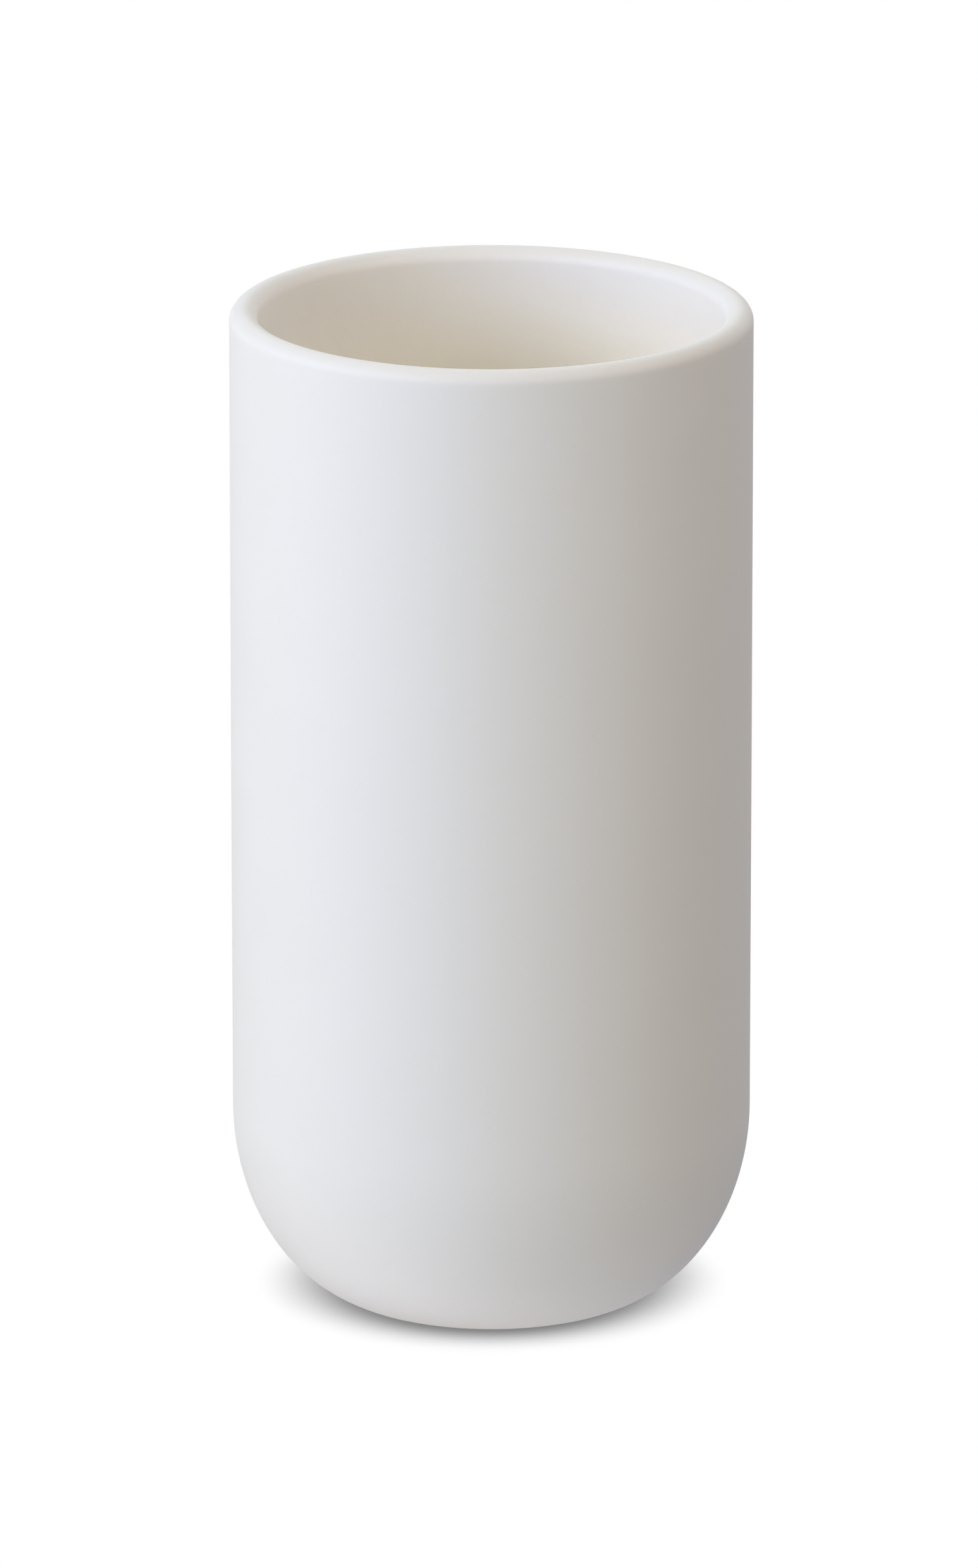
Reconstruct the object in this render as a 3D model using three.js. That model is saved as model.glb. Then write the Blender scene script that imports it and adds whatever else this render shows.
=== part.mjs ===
// Pen holder cup: a slip-cast ceramic tumbler with a full-round lip and a deeply rounded base.
// It stands on a thin silicone pad that is glued into a shallow recess under its foot.
// Millimetres, +Z up. The origin is the middle of the pad's underside, which rests on the desk.

import * as THREE from 'three';

// Overall size of the cup
const HEIGHT = 120;
const OUTER_RADIUS = 30.5;
const WALL = 3.3;

// The rounded base is a quarter ellipse, from the straight wall down to the underside
const BASE_REACH = 17.6; // how far in from the wall it runs
const BASE_RISE = 23.5; // how far up the wall it starts
const FLOOR_LEVEL = 5.2; // the inside floor

// Foot ring and the recess inside it
const FOOT_LEVEL = 0.5; // the ring's underside, just clear of the desk
const RECESS_RADIUS = 12.7;
const RECESS_CEILING = 2;

// Silicone pad, held by a film of glue as thick as the gap round it
const GLUE_GAP = 0.3;
const PAD_RADIUS = RECESS_RADIUS - GLUE_GAP;
const PAD_TOP = RECESS_CEILING - GLUE_GAP;
const PAD_EDGE_RADIUS = 0.4;

// Fineness of the turned shapes
const SIDES = 72;
const BASE_STEPS = 14;
const LIP_STEPS = 8;
const EDGE_STEPS = 3;

const LIP_RADIUS = WALL / 2;
const INNER_RADIUS = OUTER_RADIUS - WALL;
const BASE_CENTRE_RADIUS = OUTER_RADIUS - BASE_REACH;

// Points along an ellipse in the profile plane, both ends included.
// Angle 0 points away from the axis, and a quarter turn on points up.
function ellipse(centreRadius, centreHeight, reach, rise, from, to, steps) {
  const points = [];
  for (let step = 0; step <= steps; step += 1) {
    const angle = from + ((to - from) * step) / steps;
    const radius = centreRadius + reach * Math.cos(angle);
    const height = centreHeight + rise * Math.sin(angle);
    points.push(new THREE.Vector2(Math.max(radius, 0), height));
  }
  return points;
}

// A solid turned about +Z from a profile that starts and ends on the axis.
function turned(name, profile, material) {
  const geometry = new THREE.LatheGeometry(profile, SIDES);
  geometry.rotateX(Math.PI / 2);
  const mesh = new THREE.Mesh(geometry, material);
  mesh.name = name;
  return mesh;
}

// The cup: recess, foot ring, rounded base, straight wall, lip, and back down the inside.
function cupBody() {
  const footAngle = -Math.asin(1 - FOOT_LEVEL / BASE_RISE);
  const outerBase = ellipse(
    BASE_CENTRE_RADIUS, BASE_RISE, BASE_REACH, BASE_RISE, footAngle, 0, BASE_STEPS,
  );
  const lip = ellipse(
    OUTER_RADIUS - LIP_RADIUS, HEIGHT - LIP_RADIUS, LIP_RADIUS, LIP_RADIUS, 0, Math.PI, LIP_STEPS,
  );
  const innerBase = ellipse(
    BASE_CENTRE_RADIUS, BASE_RISE, INNER_RADIUS - BASE_CENTRE_RADIUS, BASE_RISE - FLOOR_LEVEL,
    0, -Math.PI / 2, BASE_STEPS,
  );
  const profile = [
    new THREE.Vector2(0, RECESS_CEILING),
    new THREE.Vector2(RECESS_RADIUS, RECESS_CEILING),
    new THREE.Vector2(RECESS_RADIUS, FOOT_LEVEL),
    ...outerBase,
    ...lip,
    ...innerBase,
    new THREE.Vector2(0, FLOOR_LEVEL),
  ];
  const glaze = new THREE.MeshStandardMaterial({ color: 0xf3eee7, roughness: 0.57, metalness: 0 });
  return turned('cup_body', profile, glaze);
}

// The pad: a disc with softly rounded edges above and below.
function footPad() {
  const edgeCentre = PAD_RADIUS - PAD_EDGE_RADIUS;
  const lowerEdge = ellipse(
    edgeCentre, PAD_EDGE_RADIUS, PAD_EDGE_RADIUS, PAD_EDGE_RADIUS, -Math.PI / 2, 0, EDGE_STEPS,
  );
  const upperEdge = ellipse(
    edgeCentre, PAD_TOP - PAD_EDGE_RADIUS, PAD_EDGE_RADIUS, PAD_EDGE_RADIUS, 0, Math.PI / 2,
    EDGE_STEPS,
  );
  const profile = [
    new THREE.Vector2(0, 0),
    ...lowerEdge,
    ...upperEdge,
    new THREE.Vector2(0, PAD_TOP),
  ];
  const silicone = new THREE.MeshStandardMaterial({ color: 0xb9b7b2, roughness: 0.8, metalness: 0 });
  return turned('foot_pad', profile, silicone);
}

const cup = new THREE.Group();
cup.add(cupBody(), footPad());

export default cup;
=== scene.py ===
"""A pen holder cup in matte white ceramic, standing on its silicone pad in soft studio light.

Everything is in metres, in the part's own frame: +Z up, the origin in the middle of the pad's underside.
The cup and the pad are turned solids. Their radii and heights come from the CAD nodes' boxes, and the
sizes inside them, which no box shows, are the named values below.
"""

import math

import bmesh
import bpy
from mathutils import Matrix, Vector


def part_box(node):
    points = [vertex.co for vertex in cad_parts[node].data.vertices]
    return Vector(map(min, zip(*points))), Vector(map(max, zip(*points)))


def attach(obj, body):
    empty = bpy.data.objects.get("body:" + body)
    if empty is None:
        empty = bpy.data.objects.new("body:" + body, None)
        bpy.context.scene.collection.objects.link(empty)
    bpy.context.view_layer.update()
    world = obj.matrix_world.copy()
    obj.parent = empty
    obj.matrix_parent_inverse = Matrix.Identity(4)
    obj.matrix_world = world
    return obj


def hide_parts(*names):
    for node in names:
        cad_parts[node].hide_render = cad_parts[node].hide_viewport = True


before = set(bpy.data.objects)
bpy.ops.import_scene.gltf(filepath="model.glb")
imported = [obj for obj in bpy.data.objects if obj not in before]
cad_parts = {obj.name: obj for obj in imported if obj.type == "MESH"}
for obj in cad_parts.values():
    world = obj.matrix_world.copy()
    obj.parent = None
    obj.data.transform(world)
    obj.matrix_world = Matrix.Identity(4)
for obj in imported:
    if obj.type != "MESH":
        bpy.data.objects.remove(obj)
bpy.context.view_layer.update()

MM = 0.001

# Cup, measured from the CAD node's box
CUP_LOW, CUP_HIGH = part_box("cup_body")
OUTER_RADIUS = CUP_HIGH.x
RIM_LEVEL = CUP_HIGH.z
FOOT_LEVEL = CUP_LOW.z

# Cup, inside its box
WALL = 3.3 * MM
LIP_RADIUS = WALL / 2
BASE_REACH = 17.6 * MM
BASE_RISE = 23.5 * MM
INSIDE_FLOOR = 5.2 * MM
RECESS_RADIUS = 12.7 * MM
RECESS_CEILING = 2 * MM
EDGE_RADIUS = 0.35 * MM
CAST_UNEVENNESS = 0.05 * MM

# The middle of the wall, as a share of the way out from the rounded base's centre to its outer surface
MID_WALL = 1 - LIP_RADIUS / BASE_REACH

# Glaze: where it ends above the desk, how far that edge wanders, how thick and how steep it is there,
# and how far down from the rim it is thin and painted darker, partly as painted shade on the lit lip
GLAZE_EDGE = 1.0 * MM
GLAZE_WANDER = 0.07 * MM
GLAZE_THICKNESS = 0.07 * MM
GLAZE_ROLL = 0.15 * MM
THIN_AND_SHADED_LIP_DEPTH = 1.2 * MM

# Painted bounce light: the inside is painted creamier and brighter, standing in for warm light bounced
# inside the cup; how far below the rim it starts and the depth over which it comes in
PAINTED_BOUNCE_START = 5 * MM
PAINTED_BOUNCE_BLEND = 10 * MM

# Pad, measured from the CAD node's box
PAD_LOW, PAD_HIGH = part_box("foot_pad")
PAD_RADIUS = PAD_HIGH.x
PAD_TOP = PAD_HIGH.z
PAD_BOTTOM = PAD_LOW.z

# Pad, inside its box
PAD_EDGE_RADIUS = 0.4 * MM
RIB_PITCH = 1.1 * MM
RIB_DEPTH = 0.22 * MM
RIBS_FROM = 2.5 * MM
RIBS = 8

# Fineness of the turned surfaces
SIDES = 256
WALL_STEP = 1.5 * MM
FLAT_STEP = 2 * MM
FOOT_RING_STEP = 0.5 * MM
FOOT_STEPS = 4
GLAZE_EDGE_STEPS = 14
OUTER_BASE_STEPS = 44
INNER_BASE_STEPS = 40
LIP_STEPS = 24
EDGE_STEPS = 5
PAD_EDGE_STEPS = 8
RIB_STEPS = 10

# Camera: a long lens, looking down by CAMERA_ELEVATION degrees, aimed a little off the cup's middle
CAMERA_ELEVATION = 16.3
CAMERA_DISTANCE = 1.76
CAMERA_LENS = 345
AIM_ABOVE_MIDDLE = 2.28 * MM
AIM_LEFT_OF_MIDDLE = 0.28 * MM

# Floor: white, just clear of the pad, glowing rather than lit, with the soft shade of the cup's underside
# painted into its glow. The painted shade is darkest where the floor is least open to the light, which
# comes from SHADE_TILT degrees in front of overhead.
FLOOR_RADIUS = 12
FLOOR_SIDES = 64
FLOOR_CLEARANCE = 0.02 * MM
SHADE_REACH = 12 * MM
SHADE_TILT = 30
DARKEST_SHADE = 0.20
DARKEST_OPENNESS = 0.12
WHITE_OPENNESS = 0.66
SHADE_SAMPLES = 32


def arc(centre_radius, centre_height, reach, rise, start, end, steps):
    """Points along an ellipse in the profile plane. 0 degrees points away from the axis, 90 points up."""
    points = []
    for step in range(steps + 1):
        angle = math.radians(start + (end - start) * step / steps)
        points.append((centre_radius + reach * math.cos(angle), centre_height + rise * math.sin(angle)))
    return points


def line(start, end, step):
    """Points from start towards end, without the end, no further apart than step."""
    count = max(1, math.ceil(math.dist(start, end) / step))
    return [
        tuple(a + (b - a) * i / count for a, b in zip(start, end))
        for i in range(count)
    ]


def eased(value):
    """value held between 0 and 1, with soft ends."""
    value = min(max(value, 0.0), 1.0)
    return value * value * (3 - 2 * value)


def glaze_cover(angle, radius, height):
    """How much glaze covers a place on the cup: 1 on the wall, 0 on the foot ring and in the recess."""
    waves = math.sin(3 * angle + 0.4) + 0.5 * math.sin(11 * angle)
    wander = GLAZE_WANDER * waves / 1.5  # the waves reach 1.5 at most
    above_edge = eased((height - GLAZE_EDGE - wander) / GLAZE_ROLL)
    in_recess = radius < RECESS_RADIUS + EDGE_RADIUS and height < INSIDE_FLOOR - EDGE_RADIUS
    return 0.0 if in_recess else above_edge


def painted_bounce_cover(radius, height):
    """How much painted warm bounce light covers a place on the cup: 0 outside and on the lip, 1 well down
    inside.
    """
    outwards = max(radius - (OUTER_RADIUS - BASE_REACH), 0) / BASE_REACH
    downwards = max(BASE_RISE - height, 0) / BASE_RISE
    inside = math.hypot(outwards, downwards) < MID_WALL
    return eased((RIM_LEVEL - PAINTED_BOUNCE_START - height) / PAINTED_BOUNCE_BLEND) if inside else 0.0


def cup_inset(angle, radius, height):
    """How far a place on the cup is moved in: unevenly, as cast clay is, and further where it is bare."""
    around = math.sin(2 * angle + 0.7) + 0.6 * math.sin(3 * angle - 1.1 + 30 * height)
    along = 0.8 * math.sin(70 * height + math.sin(angle))
    wave = 0.5 + (around + along) / 4.8  # from 0 to 1, as the two add up to 2.4 at most
    unevenness = CAST_UNEVENNESS * wave * radius / OUTER_RADIUS
    return unevenness + GLAZE_THICKNESS * (1 - glaze_cover(angle, radius, height))


def turned(name, profile, inset=None):
    """A closed mesh turned about +Z from (radius, height) points that start and end on the axis.

    inset(angle, radius, height) says how far a point is moved in towards the axis.
    """
    mesh = bmesh.new()
    rings = []
    for radius, height in profile:
        if radius == 0:
            rings.append([mesh.verts.new((0, 0, height))])
            continue
        ring = []
        for side in range(SIDES):
            angle = 2 * math.pi * side / SIDES
            reach = radius - (inset(angle, radius, height) if inset else 0)
            ring.append(mesh.verts.new((reach * math.cos(angle), reach * math.sin(angle), height)))
        rings.append(ring)
    for inner, outer in zip(rings, rings[1:]):
        for side in range(SIDES):
            after = (side + 1) % SIDES
            if len(inner) == 1:
                mesh.faces.new((inner[0], outer[after], outer[side]))
            elif len(outer) == 1:
                mesh.faces.new((inner[side], inner[after], outer[0]))
            else:
                mesh.faces.new((inner[side], inner[after], outer[after], outer[side]))
    bmesh.ops.recalc_face_normals(mesh, faces=mesh.faces)
    data = bpy.data.meshes.new(name)
    mesh.to_mesh(data)
    mesh.free()
    data.shade_smooth()
    made = bpy.data.objects.new(name, data)
    bpy.context.scene.collection.objects.link(made)
    return made


class Nodes:
    """A node tree, which starts empty."""

    def __init__(self, tree):
        self.tree = tree
        self.tree.nodes.clear()

    def add(self, kind, values=None, **settings):
        """A new node. values sets its inputs, by name or number, to constants or other nodes' outputs."""
        made = self.tree.nodes.new(kind)
        for key, value in settings.items():
            setattr(made, key, value)
        for key, value in (values or {}).items():
            if isinstance(value, bpy.types.NodeSocket):
                self.tree.links.new(value, made.inputs[key])
            else:
                made.inputs[key].default_value = value
        return made

    def math(self, operation, first, second):
        return self.add("ShaderNodeMath", {0: first, 1: second}, operation=operation).outputs[0]


class Shader(Nodes):
    """The nodes of one material."""

    def __init__(self, name):
        self.material = bpy.data.materials.new(name)
        self.material.use_nodes = True
        super().__init__(self.material.node_tree)

    def place(self):
        """The place on the part, in metres."""
        return self.add("ShaderNodeTexCoord").outputs["Object"]

    def noise(self, size, detail=2.0, roughness=0.5):
        """Noise from 0 to 1, whose features are about size metres across."""
        values = {"Vector": self.place(), "Scale": 1 / size, "Detail": detail, "Roughness": roughness}
        return self.add("ShaderNodeTexNoise", values).outputs[0]

    def ramp(self, value, low, high, start=0.0, end=1.0):
        """A number eased from start to end as value goes from low to high."""
        values = {"Value": value, "From Min": low, "From Max": high, "To Min": start, "To Max": end}
        return self.add("ShaderNodeMapRange", values, interpolation_type="SMOOTHSTEP").outputs[0]

    def mix(self, share, first, second):
        """A colour between first and second: on this node, inputs 6 and 7 and output 2 are colours."""
        return self.add("ShaderNodeMix", {0: share, 6: first, 7: second}, data_type="RGBA").outputs[2]

    def mix_values(self, share, first, second):
        """A number between first and second: on this node, inputs 2 and 3 and output 0 are numbers."""
        return self.add("ShaderNodeMix", {0: share, 2: first, 3: second}).outputs[0]

    def bump(self, height, distance, under=None):
        """A normal for a surface raised by height times distance, in metres."""
        values = {"Height": height, "Distance": distance}
        if under is not None:
            values["Normal"] = under
        return self.add("ShaderNodeBump", values).outputs[0]

    def finish(self, surface):
        self.add("ShaderNodeOutputMaterial", {"Surface": surface})
        return self.material


def colour(red, green, blue):
    return (red, green, blue, 1.0)


def matte_ceramic():
    """White matte glaze, thin on the lip and painted darker there as shade, painted creamier inside as warm
    bounce light, with sandy clay where it is bare.
    """
    shader = Shader("matte_ceramic")
    height = shader.add("ShaderNodeSeparateXYZ", {0: shader.place()}).outputs["Z"]
    glazed = shader.add("ShaderNodeAttribute", attribute_name="glazed").outputs["Fac"]
    # Where warm bounce light is painted on the inside.
    painted_bounce = shader.add("ShaderNodeAttribute", attribute_name="painted_bounce").outputs["Fac"]
    lip = shader.ramp(height, RIM_LEVEL - THIN_AND_SHADED_LIP_DEPTH, RIM_LEVEL)

    clouds = shader.mix(shader.noise(35 * MM, 2), colour(0.912, 0.868, 0.806), colour(0.892, 0.854, 0.796))
    mottled = shader.mix(shader.noise(0.9 * MM, 4), clouds, colour(0.888, 0.850, 0.796))
    # The lip's darker tone: partly thin glaze over the clay, partly painted shade that tones down the lit
    # lip.
    thin = shader.mix(shader.noise(3 * MM, 3), colour(0.816, 0.780, 0.715), colour(0.840, 0.805, 0.750))
    outside = shader.mix(lip, mottled, thin)
    # Painted bounce light: the inside is painted creamier and brighter than the wall, standing in for warm
    # light bounced around inside.
    painted_bounce_tint = shader.mix(shader.noise(20 * MM, 3), colour(0.970, 0.916, 0.818), colour(0.956, 0.902, 0.804))
    glaze = shader.mix(painted_bounce, outside, painted_bounce_tint)
    clay = shader.mix(shader.noise(0.5 * MM, 5, 0.6), colour(0.66, 0.59, 0.50), colour(0.80, 0.74, 0.65))
    base_colour = shader.mix(glazed, clay, glaze)

    satin = shader.ramp(shader.noise(11 * MM, 3), 0.3, 0.7, 0.52, 0.62)
    handled = shader.mix_values(lip, satin, 0.48)
    roughness = shader.mix_values(glazed, 0.9, handled)

    ripple = shader.bump(shader.noise(2.4 * MM, 2), 0.028 * MM)
    fine = shader.bump(shader.noise(0.28 * MM, 3, 0.6), 0.018 * MM, ripple)
    sandy = shader.math("MULTIPLY", shader.noise(0.16 * MM, 4, 0.7), shader.math("SUBTRACT", 1.0, glazed))
    normal = shader.bump(sandy, 0.03 * MM, fine)
    surface = shader.add(
        "ShaderNodeBsdfPrincipled",
        {"Base Color": base_colour, "Roughness": roughness, "Normal": normal, "IOR": 1.5},
    )
    return shader.finish(surface.outputs[0])


def silicone():
    """Soft grey silicone with a fine moulded grain and a little dust."""
    shader = Shader("silicone_pad")
    tint = shader.mix(shader.noise(6 * MM, 3), colour(0.46, 0.45, 0.43), colour(0.52, 0.51, 0.49))
    dust = shader.ramp(shader.noise(0.5 * MM, 5), 0.55, 0.75, 0.0, 0.4)
    dusty = shader.mix(dust, tint, colour(0.70, 0.68, 0.65))
    roughness = shader.ramp(shader.noise(3 * MM, 3), 0.3, 0.7, 0.58, 0.74)
    normal = shader.bump(shader.noise(0.15 * MM, 3, 0.6), 0.012 * MM)
    surface = shader.add(
        "ShaderNodeBsdfPrincipled",
        {"Base Color": dusty, "Roughness": roughness, "Normal": normal, "IOR": 1.42},
    )
    return shader.finish(surface.outputs[0])


def cup_profile():
    """The cup's section: recess, foot ring, rounded base, wall, lip, and the inside down to its floor."""
    base_radius = OUTER_RADIUS - BASE_REACH
    inner_radius = OUTER_RADIUS - WALL
    lip_height = RIM_LEVEL - LIP_RADIUS
    ceiling_edge = RECESS_RADIUS - EDGE_RADIUS
    foot_edge = RECESS_RADIUS + EDGE_RADIUS

    def base(low, high, steps):
        start = -math.degrees(math.asin(1 - low / BASE_RISE))
        end = -math.degrees(math.asin(1 - high / BASE_RISE))
        return arc(base_radius, BASE_RISE, BASE_REACH, BASE_RISE, start, end, steps)

    glaze_low = GLAZE_EDGE - GLAZE_WANDER
    glaze_high = GLAZE_EDGE + GLAZE_WANDER + GLAZE_ROLL
    foot = base(FOOT_LEVEL, glaze_low, FOOT_STEPS)
    inner_reach = inner_radius - base_radius
    inner_rise = BASE_RISE - INSIDE_FLOOR
    return [
        (0, RECESS_CEILING),
        *line((FLAT_STEP, RECESS_CEILING), (ceiling_edge, RECESS_CEILING), FLAT_STEP),
        *arc(ceiling_edge, RECESS_CEILING - EDGE_RADIUS, EDGE_RADIUS, EDGE_RADIUS, 90, 0, EDGE_STEPS),
        *arc(foot_edge, FOOT_LEVEL + EDGE_RADIUS, EDGE_RADIUS, EDGE_RADIUS, 180, 270, EDGE_STEPS),
        *line((foot_edge + FOOT_RING_STEP, FOOT_LEVEL), foot[0], FOOT_RING_STEP),
        *foot,
        *base(glaze_low, glaze_high, GLAZE_EDGE_STEPS)[1:],
        *base(glaze_high, BASE_RISE, OUTER_BASE_STEPS)[1:-1],
        *line((OUTER_RADIUS, BASE_RISE), (OUTER_RADIUS, lip_height), WALL_STEP),
        *arc(OUTER_RADIUS - LIP_RADIUS, lip_height, LIP_RADIUS, LIP_RADIUS, 0, 180, LIP_STEPS),
        *line((inner_radius, lip_height - WALL_STEP), (inner_radius, BASE_RISE), WALL_STEP),
        *arc(base_radius, BASE_RISE, inner_reach, inner_rise, 0, -90, INNER_BASE_STEPS),
        *line((base_radius - FLAT_STEP, INSIDE_FLOOR), (0, INSIDE_FLOOR), FLAT_STEP),
        (0, INSIDE_FLOOR),
    ]


def cup():
    """The cast and glazed shell. Its points carry how much glaze covers them and how much painted warm
    bounce light is on them.
    """
    made = turned("cup_shell", cup_profile(), cup_inset)
    places = [(math.atan2(p.co.y, p.co.x), math.hypot(p.co.x, p.co.y), p.co.z) for p in made.data.vertices]
    covers = {
        "glazed": [glaze_cover(angle, radius, height) for angle, radius, height in places],
        "painted_bounce": [painted_bounce_cover(radius, height) for _, radius, height in places],
    }
    for name, cover in covers.items():
        made.data.attributes.new(name, "FLOAT", "POINT").data.foreach_set("value", cover)
    made.data.materials.append(matte_ceramic())
    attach(made, "root")
    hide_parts("cup_body")


def pad():
    """The moulded pad: rounded edges, and rings of shallow ribs underneath that grip the desk."""
    edge = PAD_RADIUS - PAD_EDGE_RADIUS
    profile = [(0, PAD_BOTTOM + RIB_DEPTH)]
    for step in range(RIBS * RIB_STEPS + 1):
        wave = 0.5 + 0.5 * math.cos(2 * math.pi * step / RIB_STEPS)
        profile.append((RIBS_FROM + RIB_PITCH * step / RIB_STEPS, PAD_BOTTOM + RIB_DEPTH * wave ** 2))
    for middle, start in ((PAD_BOTTOM + PAD_EDGE_RADIUS, -90), (PAD_TOP - PAD_EDGE_RADIUS, 0)):
        profile += arc(edge, middle, PAD_EDGE_RADIUS, PAD_EDGE_RADIUS, start, start + 90, PAD_EDGE_STEPS)
    profile.append((0, PAD_TOP))
    made = turned("foot_pad_moulded", profile)
    made.data.materials.append(silicone())
    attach(made, "root")
    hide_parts("foot_pad")


def direction(azimuth, elevation):
    """A unit vector from the cup, from degrees. Azimuth 0 is the camera's side, and 90 is to its right."""
    turn = math.radians(azimuth)
    climb = math.radians(elevation)
    return Vector((math.sin(turn) * math.cos(climb), -math.cos(turn) * math.cos(climb), math.sin(climb)))


def aim(item, target):
    """Turns a camera or a light towards target."""
    item.rotation_euler = (target - item.location).to_track_quat("-Z", "Y").to_euler()


def softbox(name, azimuth, elevation, distance, width, height, brightness, tint):
    """A large soft light, aimed at the cup, that the camera doesn't see."""
    data = bpy.data.lights.new(name, "AREA")
    data.shape = "RECTANGLE"
    data.size = width
    data.size_y = height
    data.energy = brightness * math.pi * width * height
    data.color = tint
    made = bpy.data.objects.new(name, data)
    bpy.context.scene.collection.objects.link(made)
    middle = Vector((0, 0, RIM_LEVEL / 2))
    made.location = middle + direction(azimuth, elevation) * distance
    made.visible_camera = False
    aim(made, middle)


def studio_lights():
    """A window on the left, warmer above and bluer below, two lamps, and the light off the desk."""
    softbox("window_high", -61, 25, 1.0, 1.15, 0.45, 3.69, (1.0, 0.975, 0.87))
    softbox("window_low", -61, 15, 1.0, 1.15, 0.45, 3.01, (0.0, 0.255, 1.0))
    softbox("lamp", 70, 40, 1.1, 0.6, 0.6, 3.73, (1.0, 0.90, 0.82))
    softbox("overhead", 0, 89, 1.2, 0.5, 0.5, 0.94, (1.0, 0.965, 0.95))
    softbox("desk_bounce", 0, -89, 1.1, 1.3, 1.3, 1.58, (0.855, 0.86, 1.0))
    softbox("desk_front", 0, -30, 1.1, 0.8, 0.6, 0.31, (0.84, 1.0, 1.0))


def studio_room():
    """White to the camera. To everything else, a dark room with three broad glows on its walls."""
    world = bpy.data.worlds.new("studio")
    bpy.context.scene.world = world
    world.use_nodes = True
    room = Nodes(world.node_tree)
    looking = room.add("ShaderNodeTexCoord").outputs["Generated"]

    def glow(azimuth, elevation, sharpness, tint):
        middle = tuple(direction(azimuth, elevation))
        facing = room.add("ShaderNodeVectorMath", {0: looking, 1: middle}, operation="DOT_PRODUCT")
        strength = room.math("POWER", room.math("MAXIMUM", facing.outputs["Value"], 0.0), sharpness)
        return room.add("ShaderNodeBackground", {"Color": colour(*tint), "Strength": strength}).outputs[0]

    behind = glow(180, 30, 2, (1.08, 1.20, 1.36))
    left = glow(-70, 0, 1, (0.44, 0.36, 0.11))
    front = glow(0, 0, 2, (0.33, 0.36, 0.40))
    sides = room.add("ShaderNodeAddShader", {0: behind, 1: left}).outputs[0]
    walls = room.add("ShaderNodeAddShader", {0: sides, 1: front}).outputs[0]
    backdrop = room.add("ShaderNodeBackground", {"Color": colour(1.0, 1.0, 1.0)}).outputs[0]
    seen = room.add("ShaderNodeLightPath").outputs["Is Camera Ray"]
    both = room.add("ShaderNodeMixShader", {0: seen, 1: walls, 2: backdrop}).outputs[0]
    room.add("ShaderNodeOutputWorld", {"Surface": both})


def floor():
    """A glowing white floor with the cup's soft, close shade painted into its glow. Nothing but the camera
    sees it.
    """
    shader = Shader("studio_floor")
    lean = dict(enumerate(direction(0, 90 - SHADE_TILT)))
    towards_light = shader.add("ShaderNodeCombineXYZ", lean).outputs[0]
    openness = shader.add(
        "ShaderNodeAmbientOcclusion",
        {"Distance": SHADE_REACH, "Normal": towards_light},
        samples=SHADE_SAMPLES,
    ).outputs["AO"]
    brightness = shader.ramp(openness, DARKEST_OPENNESS, WHITE_OPENNESS, DARKEST_SHADE, 1.0)
    # The floor glows; its shade is painted from how open each place is, not cast by the lamps.
    white = shader.add("ShaderNodeEmission", {"Strength": brightness})
    mesh = bmesh.new()
    bmesh.ops.create_circle(mesh, cap_ends=True, radius=FLOOR_RADIUS, segments=FLOOR_SIDES)
    data = bpy.data.meshes.new("floor")
    mesh.to_mesh(data)
    mesh.free()
    data.materials.append(shader.finish(white.outputs[0]))
    made = bpy.data.objects.new("floor", data)
    bpy.context.scene.collection.objects.link(made)
    made.location.z = PAD_BOTTOM - FLOOR_CLEARANCE
    made.visible_diffuse = False
    made.visible_glossy = False
    made.visible_transmission = False
    made.visible_shadow = False


def camera():
    """The camera, a long way back, looking slightly down at the cup."""
    data = bpy.data.cameras.new("camera")
    data.lens = CAMERA_LENS
    made = bpy.data.objects.new("camera", data)
    bpy.context.scene.collection.objects.link(made)
    target = Vector((-AIM_LEFT_OF_MIDDLE, 0, RIM_LEVEL / 2 + AIM_ABOVE_MIDDLE))
    made.location = target + direction(0, CAMERA_ELEVATION) * CAMERA_DISTANCE
    aim(made, target)
    bpy.context.scene.camera = made


cup()
pad()
floor()
studio_lights()
studio_room()
camera()
bpy.context.scene.view_settings.view_transform = "Standard"
